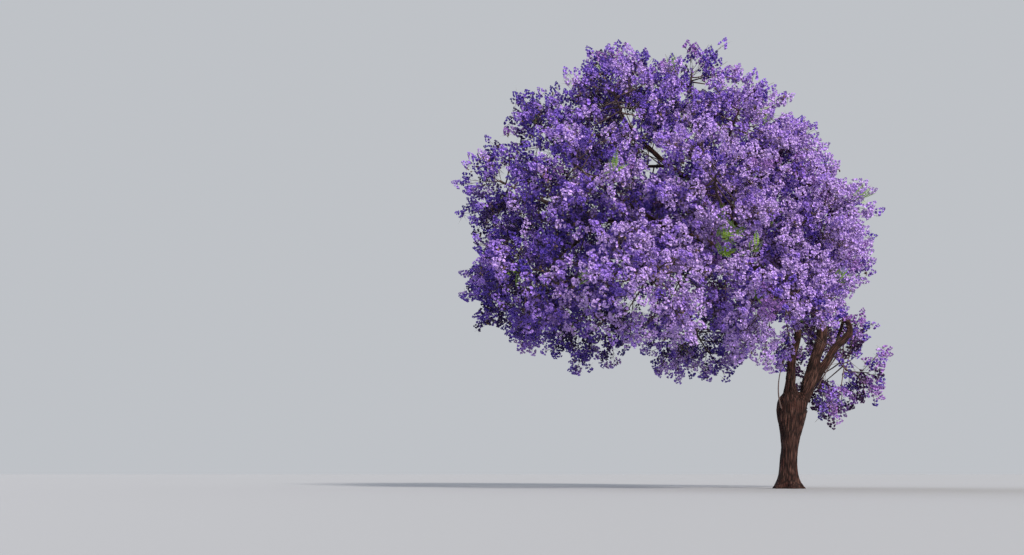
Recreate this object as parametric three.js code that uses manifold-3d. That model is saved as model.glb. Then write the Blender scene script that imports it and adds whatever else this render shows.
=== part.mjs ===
// A jacaranda tree in full bloom, rooted in the ground: a short trunk that forks low into three
// stems, boughs that sweep far to one side, and a broad domed crown of blossom that hangs low.
// Millimetres, X to the right, Y away from the viewer, Z up, origin at the foot of the trunk.
import * as THREE from "three";
import { mergeVertices } from "three/addons/utils/BufferGeometryUtils.js";
import Module from "manifold-3d";

const wasm = await Module();
wasm.setup();

// The trunk: radii at the ground, at its waist and at the fork, and how far it leans.
const FLARE_RADIUS = 440;
const WAIST_RADIUS = 255;
const FORK_RADIUS = 395;
const FLARE_FADE = 240;
const WAIST_HEIGHT = 1100;
const FORK_HEIGHT = 2500;
const CROTCH_HEIGHT = 2960;
const TRUNK_LEAN = 310;
const LEAN_POWER = 1.2;
const FORK_OVAL = 0.16;
const CROTCH_FLAT = 0.97;
const ROOT_RIBS = 5;
const ROOT_RIB_DEPTH = 0.17;
const TRUNK_SIDES = 18;
const TRUNK_RINGS = 10;

// The crown: its middle, its half-widths across and in depth, and how much lower its right side is.
const CROWN_X = -3550;
const CROWN_Y = 300;
const CROWN_HALF_WIDTH = 6150;
const CROWN_HALF_DEPTH = 5900;
const CROWN_TILT = -0.16;
const CROWN_HEART_HEIGHT = 6600;

// The masses of blossom stand in tiers. Azimuth 0 is to the right and 90 away from the viewer;
// reach is a share of the crown's half-widths, and shift moves a whole tier to the right.
const TIERS = [
  { name: "wing", count: 1, height: 4950, shift: 0, reach: 0.975, azimuth: 19, step: 0, wide: 1750, tall: 2000 },
  { name: "skirt", count: 6, height: 5600, shift: 0, reach: 0.72, azimuth: 68, step: 47.4, wide: 2150, tall: 1900 },
  { name: "heart", count: 1, height: 8100, shift: 300, reach: 0, azimuth: 0, step: 0, wide: 2000, tall: 1700 },
  { name: "shoulder", count: 8, height: 8300, shift: 100, reach: 0.73, azimuth: 8, step: 45, wide: 2100, tall: 1900 },
  { name: "upper", count: 6, height: 10600, shift: 100, reach: 0.52, azimuth: 0, step: 60, wide: 2100, tall: 1700 },
  { name: "crest", count: 3, height: 12050, shift: 50, reach: 0.24, azimuth: 60, step: 120, wide: 2000, tall: 1600 },
];

// The three stems above the fork: foot inside the trunk or stem, two bows and where the first bough
// leaves, with the radius at each.
const STEMS = [
  {
    name: "middle_stem",
    points: [[270, 30, 2150], [800, 50, 3150], [1050, 70, 3900], [1290, 80, 4760]],
    radii: [250, 228, 170, 160],
  },
  {
    name: "left_stem",
    points: [[70, -40, 2200], [205, -90, 3150], [285, -105, 3900], [490, -120, 4760]],
    radii: [255, 175, 118, 106],
  },
  {
    name: "right_stem",
    points: [[880, 60, 3150], [1390, 120, 3800], [1690, 210, 4230], [2250, 380, 4780]],
    radii: [135, 128, 118, 104],
  },
];

// Boughs: radius where one enters its mass, how radii add up at a fork, and where forks fall.
const BOUGH_TIP_RADIUS = 52;
const RADIUS_POWER = 2.2;
const FORK_SHARE = 0.4;
const FORK_CLEARANCE = 0.58;
const FORK_PULL = 0.75;
const FORK_MOMENTUM = 0.5;
const FORK_SWAY = 170;
const FORK_LEAST = 500;
const ENTRY_SHARE = 0.6;
const BOUGH_SIDES = 5;
const STOUT_SIDES = 7;
const STOUT_RADIUS = 100;
const RINGS_BETWEEN = 2;

// Within a mass: one stem, twigs round it, and sprays of blossom on each twig.
const STEM_RADIUS = 58;
const STEM_RUN = 0.45;
const TWIGS = 7;
const CAP_TOP = 0.95;
const CAP_EDGE = -0.45;
const TWIG_ROOTS = [0.95, 0.4];
const TWIG_REACH = 0.72;
const TWIG_RADIUS = 45;
const TWIG_OVERRUN = 1.25;
const SPRAYS = 4;
const SPRAY_LENGTH = 1400;
const SPRAY_WIDTH = 1150;
const SPRAY_DEPTH = 260;
const SPRAY_BELLY = 0.5;
const SPRAY_ROOT = 4;
const SPRAY_SPREAD = 1.1;
const TIP_SPREAD = 0.15;
const SPRAY_ROLL = 1.6;
const SPRAY_STEP = 0.2;
const TWIG_SHARES = [1, 0.85, 0.7];
const SHRINKS = [1, 0.84, 0.7];
const AIMS = 5;

// Gaps between neighbours, how far a mass's space stretches past its half-sizes, and fixed helpers.
const CLEAR = 0.3;
const JOINT_CLEAR = 0.6;
const SPACE_CLEAR = 8;
const SPACE_SHARE = 1.12;
const GOLDEN_TURN = Math.PI * (3 - Math.sqrt(5));
const UP = new THREE.Vector3(0, 0, 1);

// A repeatable stream of numbers from 0 to 1.
function seeded(seed) {
  let state = Math.imul(seed + 1, 2654435761) >>> 0;
  return () => {
    state = (Math.imul(state, 1664525) + 1013904223) >>> 0;
    return state / 4294967296;
  };
}

const vector = (x, y, z) => new THREE.Vector3(x, y, z);
const mix = (a, b, share) => a.clone().lerp(b, share);

// Two directions square to a given one.
function across(direction) {
  const helper = Math.abs(direction.z) > 0.9 ? vector(1, 0, 0) : UP;
  const side = vector().crossVectors(direction, helper).normalize();
  return [side, vector().crossVectors(side, direction).normalize()];
}

// The masses, each with its middle, half-sizes and the way it faces out of the crown.
function crownMasses() {
  const heart = vector(CROWN_X, CROWN_Y, CROWN_HEART_HEIGHT);
  const masses = [];
  for (const tier of TIERS) {
    for (let i = 0; i < tier.count; i++) {
      const azimuth = tier.azimuth + tier.step * i;
      const angle = THREE.MathUtils.degToRad(azimuth);
      const x = CROWN_HALF_WIDTH * tier.reach * Math.cos(angle);
      const y = CROWN_HALF_DEPTH * tier.reach * Math.sin(angle);
      const centre = vector(CROWN_X + tier.shift + x, CROWN_Y + y, tier.height + CROWN_TILT * x);
      masses.push({
        name: tier.count > 1 ? `${tier.name}_${i + 1}` : tier.name,
        tier: tier.name,
        azimuth,
        seed: masses.length,
        centre,
        size: vector(tier.wide, tier.wide, tier.tall),
        outward: centre.clone().sub(heart).normalize(),
      });
    }
  }
  return masses;
}

// Which stem carries a mass.
function carrier(mass) {
  if (mass.tier === "wing" || (mass.tier === "shoulder" && mass.azimuth < 60)) return "right_stem";
  if ((mass.tier === "skirt" || mass.tier === "shoulder") && mass.azimuth > 170) return "left_stem";
  return "middle_stem";
}

// The middle of a bundle of masses.
function middleOf(masses) {
  return masses.reduce((sum, mass) => sum.add(mass.centre), vector()).divideScalar(masses.length);
}

// Splits the masses seen from a fork into two bundles that lie furthest apart in direction. The
// first one is that with more masses and the straighter way on.
function split(fork, heading, masses) {
  const ways = masses.map((mass) => mass.centre.clone().sub(fork).normalize());
  let widest = 2;
  let ends = [0, 1];
  for (let a = 0; a < ways.length; a++) {
    for (let b = a + 1; b < ways.length; b++) {
      const likeness = ways[a].dot(ways[b]);
      if (likeness < widest) {
        widest = likeness;
        ends = [a, b];
      }
    }
  }
  const [first, second] = ends.map((end) => ways[end]);
  const near = masses.filter((_, i) => ways[i].dot(first) >= ways[i].dot(second));
  const far = masses.filter((mass) => !near.includes(mass));
  const worth = (bundle) => bundle.length + 3 * heading.dot(middleOf(bundle).sub(fork).normalize());
  return worth(near) >= worth(far) ? [near, far] : [far, near];
}

// The radius of a limb that carries so many masses.
function girth(count) {
  return BOUGH_TIP_RADIUS * Math.pow(count, 1 / RADIUS_POWER);
}

// Carries a limb on from its last point to its masses, and starts a new limb at each fork.
function branchOut(limb, masses, heading, limbs, draw) {
  const from = limb.points.at(-1);
  if (masses.length === 1) {
    const [mass] = masses;
    const way = mass.centre.clone().sub(from).normalize();
    const inset = way.clone().multiply(mass.size).length() * ENTRY_SHARE;
    limb.points.push(mass.centre.clone().addScaledVector(way, -inset));
    limb.radii.push(BOUGH_TIP_RADIUS);
    limb.mass = mass;
    mass.limb = limb;
    return;
  }
  const clear = (mass) => mass.centre.distanceTo(from) - ENTRY_SHARE * mass.size.x;
  const nearest = Math.max(Math.min(...masses.map(clear)), FORK_LEAST);
  const run = middleOf(masses).sub(from);
  const reach = Math.min(run.length() * FORK_SHARE, nearest * FORK_CLEARANCE);
  const sway = vector(draw() - 0.5, draw() - 0.5, draw() - 0.5).multiplyScalar(2 * FORK_SWAY);
  const fork = from.clone().addScaledVector(run.normalize(), FORK_PULL * reach).add(sway);
  fork.addScaledVector(heading, FORK_MOMENTUM * reach);
  const onward = fork.clone().sub(from).normalize();
  const [main, side] = split(fork, onward, masses);
  limb.points.push(fork);
  limb.radii.push(girth(main.length));
  branchOut(limb, main, onward, limbs, draw);
  const branch = { points: [fork.clone()], radii: [girth(side.length)] };
  limbs.push(branch);
  branchOut(branch, side, onward, limbs, draw);
}

// All the stems and boughs, each after the limb that it leaves.
function growLimbs(masses) {
  const limbs = [];
  STEMS.forEach((stem, i) => {
    const limb = {
      name: stem.name,
      points: stem.points.map((point) => vector(...point)),
      radii: [...stem.radii],
    };
    limbs.push(limb);
    const carried = masses.filter((mass) => carrier(mass) === stem.name);
    const heading = limb.points.at(-1).clone().sub(limb.points.at(-2)).normalize();
    branchOut(limb, carried, heading, limbs, seeded(100 + i));
  });
  for (const limb of limbs) {
    limb.name ??= `bough_${limb.mass.name}`;
    limb.curve = new THREE.CatmullRomCurve3(limb.points, false, "centripetal");
    limb.rings = RINGS_BETWEEN * (limb.points.length - 1);
    limb.sides = limb.radii[0] > STOUT_RADIUS ? STOUT_SIDES : BOUGH_SIDES;
  }
  return limbs;
}

// The radius along a limb, between the radii at its points.
function limbRadius(limb, t) {
  const at = t * (limb.radii.length - 1);
  const i = Math.min(Math.floor(at), limb.radii.length - 2);
  return THREE.MathUtils.lerp(limb.radii[i], limb.radii[i + 1], at - i);
}

// A closed solid from a three.js geometry.
function solid(geometry) {
  const bare = geometry.clone();
  bare.deleteAttribute("normal");
  bare.deleteAttribute("uv");
  const merged = mergeVertices(bare, 1e-3);
  return new wasm.Manifold(
    new wasm.Mesh({
      numProp: 3,
      vertProperties: new Float32Array(merged.attributes.position.array),
      triVerts: new Uint32Array(merged.index.array),
    }),
  );
}

// A closed cylinder with its rings laid along a curve. radiusAt takes the share of the way along.
function tube(curve, rings, sides, radiusAt) {
  const geometry = new THREE.CylinderGeometry(1, 1, 1, sides, rings);
  const frames = curve.computeFrenetFrames(rings, false);
  const places = Array.from({ length: rings + 1 }, (_, i) => curve.getPoint(i / rings));
  const spots = geometry.attributes.position;
  for (let i = 0; i < spots.count; i++) {
    const t = spots.getY(i) + 0.5;
    const ring = Math.round(t * rings);
    const radius = radiusAt(t);
    const place = places[ring].clone();
    place.addScaledVector(frames.normals[ring], -spots.getX(i) * radius);
    place.addScaledVector(frames.binormals[ring], spots.getZ(i) * radius);
    spots.setXYZ(i, place.x, place.y, place.z);
  }
  return geometry;
}

// The limb as a solid, thicker all round by grow.
function limbSolid(limb, grow = 0) {
  return solid(tube(limb.curve, limb.rings, limb.sides, (t) => limbRadius(limb, t) + grow));
}

// The trunk: ribbed by its roots at the ground, a waist, then wide and oval below the fork.
function trunkRadius(height, angle) {
  const flare = (FLARE_RADIUS - WAIST_RADIUS) * Math.exp(-height / FLARE_FADE);
  const swell = THREE.MathUtils.smoothstep(height, WAIST_HEIGHT, FORK_HEIGHT);
  const ribs = 1 + ROOT_RIB_DEPTH * Math.exp(-height / (2 * FLARE_FADE)) * Math.cos(ROOT_RIBS * angle + 0.6);
  const oval = 1 + FORK_OVAL * swell * Math.cos(2 * angle);
  const domed = THREE.MathUtils.clamp((height - FORK_HEIGHT) / (CROTCH_HEIGHT - FORK_HEIGHT), 0, CROTCH_FLAT);
  const crotch = Math.sqrt(1 - domed * domed);
  return (WAIST_RADIUS + flare + (FORK_RADIUS - WAIST_RADIUS) * swell) * ribs * oval * crotch;
}

// How far the middle of the trunk has leant to the right at a height.
function trunkLean(height) {
  return TRUNK_LEAN * Math.pow(height / CROTCH_HEIGHT, LEAN_POWER);
}

// The trunk as a solid with a flat foot, thicker all round by grow.
function trunkSolid(grow = 0) {
  const geometry = new THREE.CylinderGeometry(1, 1, 1, TRUNK_SIDES, TRUNK_RINGS);
  const spots = geometry.attributes.position;
  for (let i = 0; i < spots.count; i++) {
    const t = spots.getY(i) + 0.5;
    const height = CROTCH_HEIGHT * (t - 0.09 * Math.sin(2 * Math.PI * t));
    const angle = Math.atan2(-spots.getZ(i), spots.getX(i));
    const radius = trunkRadius(height, angle) + grow;
    const out = Math.hypot(spots.getX(i), spots.getZ(i)) * radius;
    const lift = t > 0.5 ? grow : 0;
    spots.setXYZ(i, trunkLean(height) + out * Math.cos(angle), out * Math.sin(angle), height + lift);
  }
  return solid(geometry);
}

// The stem of a mass, which carries on from the tip of its bough, and its twigs, which turn round
// the way that the mass faces by the golden angle.
function planMass(mass) {
  const draw = seeded(mass.seed);
  const entry = mass.limb.points.at(-1);
  const arrival = mass.limb.curve.getTangent(1);
  const top = mass.centre.clone().addScaledVector(mass.outward, mass.size.z * STEM_RUN);
  const start = entry.clone().addScaledVector(arrival, CLEAR);
  const elbow = start.clone().addScaledVector(arrival, start.distanceTo(mass.centre));
  const stem = new THREE.QuadraticBezierCurve3(start, elbow, top);
  const [side, other] = across(mass.outward);
  const twigs = [];
  for (let i = 0; i < TWIGS; i++) {
    const lean = THREE.MathUtils.lerp(CAP_TOP, CAP_EDGE, (i + 0.3 + 0.4 * draw()) / TWIGS);
    const turn = i * GOLDEN_TURN + 0.8 * draw();
    const flat = Math.sqrt(1 - lean * lean);
    const way = mass.outward.clone().multiplyScalar(lean);
    way.addScaledVector(side, flat * Math.cos(turn)).addScaledVector(other, flat * Math.sin(turn));
    const root = stem.getPoint(THREE.MathUtils.lerp(TWIG_ROOTS[0], TWIG_ROOTS[1], i / TWIGS));
    const tip = mass.centre.clone().add(way.clone().multiply(mass.size).multiplyScalar(TWIG_REACH));
    twigs.push({ root, tip, way, outward: mass.outward, draw });
  }
  return { stem, twigs };
}

// The ways that one spray can stand on its twig, in the order in which they are tried.
function* stances(twig, k) {
  const along = twig.tip.clone().sub(twig.root).normalize();
  const [side, other] = across(along);
  const spread = k === 0 ? TIP_SPREAD : SPRAY_SPREAD;
  const first = k * GOLDEN_TURN + 1.5 * twig.draw();
  const roll = SPRAY_ROLL * (twig.draw() - 0.5);
  const size = 0.85 + 0.3 * twig.draw();
  for (const shrink of SHRINKS) {
    for (let aim = 0; aim < AIMS; aim++) {
      const turn = first + (2 * Math.PI * aim) / AIMS;
      const direction = mix(along, twig.way, 0.5);
      direction.addScaledVector(side, spread * Math.cos(turn)).addScaledVector(other, spread * Math.sin(turn));
      direction.normalize();
      const wide = vector().crossVectors(direction, twig.outward).normalize();
      const face = wide.cross(direction).applyAxisAngle(direction, roll);
      yield { at: mix(twig.root, twig.tip, 1 - SPRAY_STEP * k), direction, face, scale: size * shrink };
    }
  }
}

// A spray as an eight-faced solid: pointed at both ends, widest towards its root.
function spraySolid({ at, direction, face, scale }) {
  const geometry = new THREE.OctahedronGeometry(1, 0);
  const wide = vector().crossVectors(face, direction);
  const spots = geometry.attributes.position;
  for (let i = 0; i < spots.count; i++) {
    const [x, y, z] = [spots.getX(i), spots.getY(i), spots.getZ(i)];
    const ends = x > 0 ? SPRAY_LENGTH * scale : -SPRAY_ROOT;
    const run = Math.abs(x) > 0.5 ? ends : SPRAY_BELLY * SPRAY_LENGTH * scale;
    const place = at.clone().addScaledVector(direction, run);
    place.addScaledVector(wide, (y * SPRAY_WIDTH * scale) / 2);
    place.addScaledVector(face, (z * SPRAY_DEPTH * scale) / 2);
    spots.setXYZ(i, place.x, place.y, place.z);
  }
  return { geometry, solid: solid(geometry) };
}

// A twig as a slim three-sided spike, whose point lies a little way into the spray at its end.
function twigSolid(twig) {
  const geometry = new THREE.TetrahedronGeometry(1, 0);
  const run = twig.tip.clone().sub(twig.root);
  const point = vector(1, 1, 1).normalize();
  geometry.applyQuaternion(new THREE.Quaternion().setFromUnitVectors(point, vector(1, 0, 0)));
  const [side, other] = across(run.clone().normalize());
  const spots = geometry.attributes.position;
  for (let i = 0; i < spots.count; i++) {
    const place = twig.root.clone().addScaledVector(run, spots.getX(i) > 0 ? TWIG_OVERRUN : 0);
    place.addScaledVector(side, spots.getY(i) * TWIG_RADIUS).addScaledVector(other, -spots.getZ(i) * TWIG_RADIUS);
    spots.setXYZ(i, place.x, place.y, place.z);
  }
  return { twig, geometry, solid: solid(geometry) };
}

// True if every corner is in the mass's own space: within its ellipsoid, and nearer to it than to others.
function inOwnSpace(geometry, mass, masses) {
  const spots = geometry.attributes.position;
  for (let i = 0; i < spots.count; i++) {
    const spot = vector().fromBufferAttribute(spots, i);
    if (spot.clone().sub(mass.centre).divide(mass.size).length() > SPACE_SHARE) return false;
    for (const other of masses) {
      if (other === mass) continue;
      const gap = other.centre.clone().sub(mass.centre);
      const beyond = spot.clone().sub(mass.centre).dot(gap) / gap.length() - gap.length() / 2;
      if (beyond > -SPACE_CLEAR) return false;
    }
  }
  return true;
}

// The largest piece of a solid, without the scraps and sealed hollows that joining can leave.
function largest(made) {
  return made.decompose().reduce((best, piece) => (piece.volume() > best.volume() ? piece : best));
}

// The longest of a twig's lengths that keeps to the space and clear of limbs.
function placeTwig(twig, fits) {
  for (const share of TWIG_SHARES) {
    const made = twigSolid({ ...twig, tip: mix(twig.root, twig.tip, share) });
    if (fits(made)) return made;
  }
  return null;
}

// The first way of standing in which a spray keeps to the space and clear of limbs and other sprays.
function placeSpray(twig, k, fits, placed) {
  for (const stance of stances(twig, k)) {
    const made = spraySolid(stance);
    if (fits(made) && placed.every((other) => made.solid.intersect(other).isEmpty())) return made.solid;
  }
  return null;
}

// A mass as one solid: its stem, its twigs and the sprays on them.
function massSolid(mass, masses, limbsTogether) {
  const { stem, twigs } = planMass(mass);
  const fits = (piece) =>
    inOwnSpace(piece.geometry, mass, masses) && piece.solid.intersect(limbsTogether).isEmpty();
  const stalk = solid(tube(stem, 2, 5, (t) => STEM_RADIUS * (1 - 0.2 * t)));
  const shafts = twigs.map((twig) => placeTwig(twig, fits)).filter(Boolean);
  const sprays = [];
  for (const shaft of shafts) {
    const others = [stalk, ...shafts.filter((other) => other !== shaft).map((other) => other.solid)];
    for (let k = 0; k < SPRAYS; k++) {
      const spray = placeSpray(shaft.twig, k, fits, [...others, ...sprays]);
      if (spray) sprays.push(spray);
    }
  }
  return largest(wasm.Manifold.union([stalk, ...shafts.map((shaft) => shaft.solid), ...sprays]));
}

// Dull fissured bark, and blossom in three shades of violet.
const bark = new THREE.MeshStandardMaterial({ color: 0x6b5648, roughness: 0.92, metalness: 0 });
const blossom = [0xa78bdc, 0x8a68c8, 0x7450b8].map(
  (color) => new THREE.MeshStandardMaterial({ color, roughness: 0.7, metalness: 0 }),
);

// A named mesh of a solid.
function meshOf(name, made, material) {
  const { vertProperties, triVerts } = made.getMesh();
  const geometry = new THREE.BufferGeometry();
  geometry.setAttribute("position", new THREE.BufferAttribute(new Float32Array(vertProperties), 3));
  geometry.setIndex(new THREE.BufferAttribute(new Uint32Array(triVerts), 1));
  geometry.computeVertexNormals();
  const mesh = new THREE.Mesh(geometry, material);
  mesh.name = name;
  return mesh;
}

const tree = new THREE.Group();
const masses = crownMasses();
const limbs = growLimbs(masses);

const trunk = trunkSolid();
tree.add(meshOf("trunk", trunk, bark));
let taken = trunkSolid(JOINT_CLEAR);
for (const limb of limbs) {
  const made = largest(limbSolid(limb).subtract(taken));
  tree.add(meshOf(limb.name, made, bark));
  taken = taken.add(limbSolid(limb, JOINT_CLEAR));
}
masses.forEach((mass, i) => {
  tree.add(meshOf(`blossom_${mass.name}`, massSolid(mass, masses, taken), blossom[i % blossom.length]));
});

export default tree;
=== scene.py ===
import math
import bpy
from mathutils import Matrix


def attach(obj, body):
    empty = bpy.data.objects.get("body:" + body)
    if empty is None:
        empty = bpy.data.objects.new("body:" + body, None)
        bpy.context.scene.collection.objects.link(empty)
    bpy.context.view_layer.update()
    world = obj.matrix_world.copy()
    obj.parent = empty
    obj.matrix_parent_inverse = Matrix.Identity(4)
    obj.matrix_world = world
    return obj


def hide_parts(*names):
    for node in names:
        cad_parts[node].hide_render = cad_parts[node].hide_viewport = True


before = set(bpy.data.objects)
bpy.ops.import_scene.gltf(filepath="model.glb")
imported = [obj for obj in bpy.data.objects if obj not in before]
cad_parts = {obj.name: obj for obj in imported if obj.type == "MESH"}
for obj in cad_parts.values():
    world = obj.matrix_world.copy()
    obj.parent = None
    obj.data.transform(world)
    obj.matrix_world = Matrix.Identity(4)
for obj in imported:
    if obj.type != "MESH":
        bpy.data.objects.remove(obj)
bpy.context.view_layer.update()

from types import SimpleNamespace

import bmesh
import bpy
import numpy as np
from mathutils import Matrix, Quaternion, Vector, noise
from mathutils.bvhtree import BVHTree
from mathutils.kdtree import KDTree

# The view: a camera a little above the ground, 32 m in front of the tree and well to its left,
# looking up at the crown. Metres and degrees, in the model's own frame: X to the right, Y away.
EYE = (-8.25, -32.0, 0.43)
EYE_TILT = 10.6
LENS = 36.9

camera = bpy.data.objects.new("camera", bpy.data.cameras.new("camera"))
camera.location = EYE
camera.rotation_euler = (math.radians(90 + EYE_TILT), 0, 0)
camera.data.lens = LENS
camera.data.clip_end = 1000
bpy.context.scene.collection.objects.link(camera)
bpy.context.scene.camera = camera

# The stage: a plain pale floor past every edge of the view, one broad soft lamp from the right,
# the front and above, as the daylight falls on the tree, a weaker one from behind on the left, so
# that the far side shows too, and pale light from all round.
FLOOR_SIZE = 2400
FLOOR_COLOUR = "#9D9FA2"
SURROUND_COLOUR = "#ECF0F6"
SURROUND_STRENGTH = 0.62
LAMPS = [
    {"name": "lamp", "from": (0.44, -0.84, 0.62), "strength": 4.5, "spread": 12, "colour": "#FFF5EA"},
    {"name": "fill", "from": (-0.75, 0.5, 0.55), "strength": 1.9, "spread": 60, "colour": "#E8EEFF"},
]


def linear(colour):
    """A hex sRGB colour as linear red, green, blue and alpha."""
    parts = [int(colour[i:i + 2], 16) / 255 for i in (1, 3, 5)]
    return [c / 12.92 if c <= 0.04045 else ((c + 0.055) / 1.055) ** 2.4 for c in parts] + [1]


def add(tree, kind, inputs=None, **settings):
    """Adds a node with its settings, and sets or links its inputs."""
    made = tree.nodes.new(kind)
    for name, value in settings.items():
        setattr(made, name, value)
    for socket, value in (inputs or {}).items():
        if isinstance(value, bpy.types.NodeSocket):
            tree.links.new(value, made.inputs[socket])
        else:
            made.inputs[socket].default_value = value
    return made


def new_material(name):
    """A material with its node tree and its shader."""
    material = bpy.data.materials.new(name)
    material.use_nodes = True
    return material, material.node_tree, material.node_tree.nodes["Principled BSDF"]


def mesh_from(shape, name):
    """The mesh of a bmesh, which is freed."""
    mesh = bpy.data.meshes.new(name)
    shape.to_mesh(mesh)
    shape.free()
    return mesh


def show(name, mesh, material, smooth=False):
    """A new object at the origin that shows a mesh in a material."""
    mesh.materials.clear()
    mesh.materials.append(material)
    if smooth:
        mesh.shade_smooth()
    else:
        mesh.shade_flat()
    piece = bpy.data.objects.new(name, mesh)
    bpy.context.scene.collection.objects.link(piece)
    return piece


floor_paint, _, shader = new_material("matt_floor_paint")
shader.inputs["Base Color"].default_value = linear(FLOOR_COLOUR)
shader.inputs["Roughness"].default_value = 0.95
shader.inputs["Specular IOR Level"].default_value = 0.1

shape = bmesh.new()
bmesh.ops.create_grid(shape, x_segments=1, y_segments=1, size=FLOOR_SIZE / 2)
floor = show("floor", mesh_from(shape, "floor"), floor_paint)

for row in LAMPS:
    lamp = bpy.data.objects.new(row["name"], bpy.data.lights.new(row["name"], "SUN"))
    lamp.data.energy = row["strength"]
    lamp.data.angle = math.radians(row["spread"])
    lamp.data.color = linear(row["colour"])[:3]
    lamp.rotation_mode = "QUATERNION"
    lamp.rotation_quaternion = Vector(row["from"]).to_track_quat("Z", "Y")
    bpy.context.scene.collection.objects.link(lamp)

surround = bpy.data.worlds.new("surround")
surround.use_nodes = True
background = surround.node_tree.nodes["Background"]
background.inputs["Color"].default_value = linear(SURROUND_COLOUR)
background.inputs["Strength"].default_value = SURROUND_STRENGTH
bpy.context.scene.world = surround
bpy.context.scene.view_settings.view_transform = "Standard"

# The crown's masses: a real crown is many bushy ends of boughs, each with its own space. They stand
# in tiers round the crown's middle, and reach further to the left than to the right of the trunk.
CROWN_MIDDLE = Vector((-3.55, 0.3, 6.6))
CROWN_HALF_WIDTH = 6.15
CROWN_HALF_DEPTH = 5.9
CROWN_TILT = -0.16
TIERS = [
    {"name": "wing", "count": 1, "height": 4.95, "shift": 0, "reach": 0.975, "azimuth": 19, "step": 0,
     "wide": 1.75, "tall": 2.0},
    {"name": "skirt", "count": 6, "height": 5.6, "shift": 0, "reach": 0.72, "azimuth": 68, "step": 47.4,
     "wide": 2.15, "tall": 1.9},
    {"name": "heart", "count": 1, "height": 8.1, "shift": 0.3, "reach": 0, "azimuth": 0, "step": 0,
     "wide": 2.0, "tall": 1.7},
    {"name": "shoulder", "count": 8, "height": 8.3, "shift": 0.1, "reach": 0.73, "azimuth": 8, "step": 45,
     "wide": 2.1, "tall": 1.9},
    {"name": "upper", "count": 6, "height": 10.6, "shift": 0.1, "reach": 0.52, "azimuth": 0, "step": 60,
     "wide": 2.1, "tall": 1.7},
    {"name": "crest", "count": 3, "height": 12.05, "shift": 0.05, "reach": 0.24, "azimuth": 60, "step": 120,
     "wide": 2.0, "tall": 1.6},
]
SPACE_SHARE = 1.12
SPACE_CLEAR = 0.008

masses = []
for tier in TIERS:
    for i in range(tier["count"]):
        azimuth = tier["azimuth"] + tier["step"] * i
        x = CROWN_HALF_WIDTH * tier["reach"] * math.cos(math.radians(azimuth))
        y = CROWN_HALF_DEPTH * tier["reach"] * math.sin(math.radians(azimuth))
        centre = Vector((CROWN_MIDDLE.x + tier["shift"] + x, CROWN_MIDDLE.y + y,
                         tier["height"] + CROWN_TILT * x))
        masses.append(SimpleNamespace(
            name=f"{tier['name']}_{i + 1}" if tier["count"] > 1 else tier["name"],
            tier=tier["name"], azimuth=azimuth, seed=len(masses), centre=centre,
            size=Vector((tier["wide"], tier["wide"], tier["tall"])),
            outward=(centre - CROWN_MIDDLE).normalized(), limb=None))
centres = np.array([mass.centre for mass in masses])
half_sizes = np.array([mass.size for mass in masses])


def own_space(points, mass):
    """Which points lie in a mass's own space: within its ellipsoid, and nearer to it than to others."""
    offset = np.asarray(points) - centres[mass.seed]
    inside = np.linalg.norm(offset / half_sizes[mass.seed], axis=1) <= SPACE_SHARE
    gaps = np.delete(centres, mass.seed, 0) - centres[mass.seed]
    lengths = np.linalg.norm(gaps, axis=1)
    beyond = offset @ (gaps / lengths[:, None]).T - lengths / 2
    return inside & (beyond <= -SPACE_CLEAR).all(axis=1)


# The stems and boughs: three stems above the fork, each carried on and forked towards its masses,
# one tapering limb at a time. The forks fall by the same seeded rule as in the solid model.
STEMS = [
    {"name": "middle_stem", "radii": [0.25, 0.228, 0.17, 0.16],
     "points": [(0.27, 0.03, 2.15), (0.8, 0.05, 3.15), (1.05, 0.07, 3.9), (1.29, 0.08, 4.76)]},
    {"name": "left_stem", "radii": [0.255, 0.175, 0.118, 0.106],
     "points": [(0.07, -0.04, 2.2), (0.205, -0.09, 3.15), (0.285, -0.105, 3.9), (0.49, -0.12, 4.76)]},
    {"name": "right_stem", "radii": [0.135, 0.128, 0.118, 0.104],
     "points": [(0.88, 0.06, 3.15), (1.39, 0.12, 3.8), (1.69, 0.21, 4.23), (2.25, 0.38, 4.78)]},
]
BOUGH_TIP_RADIUS = 0.052
RADIUS_POWER = 2.2
FORK_SHARE = 0.4
FORK_CLEARANCE = 0.58
FORK_PULL = 0.75
FORK_MOMENTUM = 0.5
FORK_SWAY = 0.17
FORK_LEAST = 0.5
STRAIGHT_WORTH = 3
ENTRY_SHARE = 0.6
STEM_SEED = 100


def seeded(seed):
    """A repeatable stream of numbers from 0 to 1."""
    state = (seed + 1) * 2654435761 % 2 ** 32

    def draw():
        nonlocal state
        state = (state * 1664525 + 1013904223) % 2 ** 32
        return state / 2 ** 32
    return draw


def carrier(mass):
    """The name of the stem that carries a mass."""
    if mass.tier == "wing" or (mass.tier == "shoulder" and mass.azimuth < 60):
        return "right_stem"
    if mass.tier in ("skirt", "shoulder") and mass.azimuth > 170:
        return "left_stem"
    return "middle_stem"


def middle_of(bundle):
    """The middle of a bundle of masses."""
    return sum((mass.centre for mass in bundle), Vector()) / len(bundle)


def split(fork, heading, bundle):
    """Splits a bundle of masses in two, furthest apart in direction, the fuller and straighter first."""
    ways = [(mass.centre - fork).normalized() for mass in bundle]
    pairs = [(a, b) for a in range(len(ways)) for b in range(a + 1, len(ways))]
    first, second = (ways[end] for end in min(pairs, key=lambda pair: ways[pair[0]].dot(ways[pair[1]])))
    near = [mass for mass, way in zip(bundle, ways) if way.dot(first) >= way.dot(second)]
    far = [mass for mass in bundle if mass not in near]

    def worth(part):
        return len(part) + STRAIGHT_WORTH * heading.dot((middle_of(part) - fork).normalized())
    return (near, far) if worth(near) >= worth(far) else (far, near)


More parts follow.
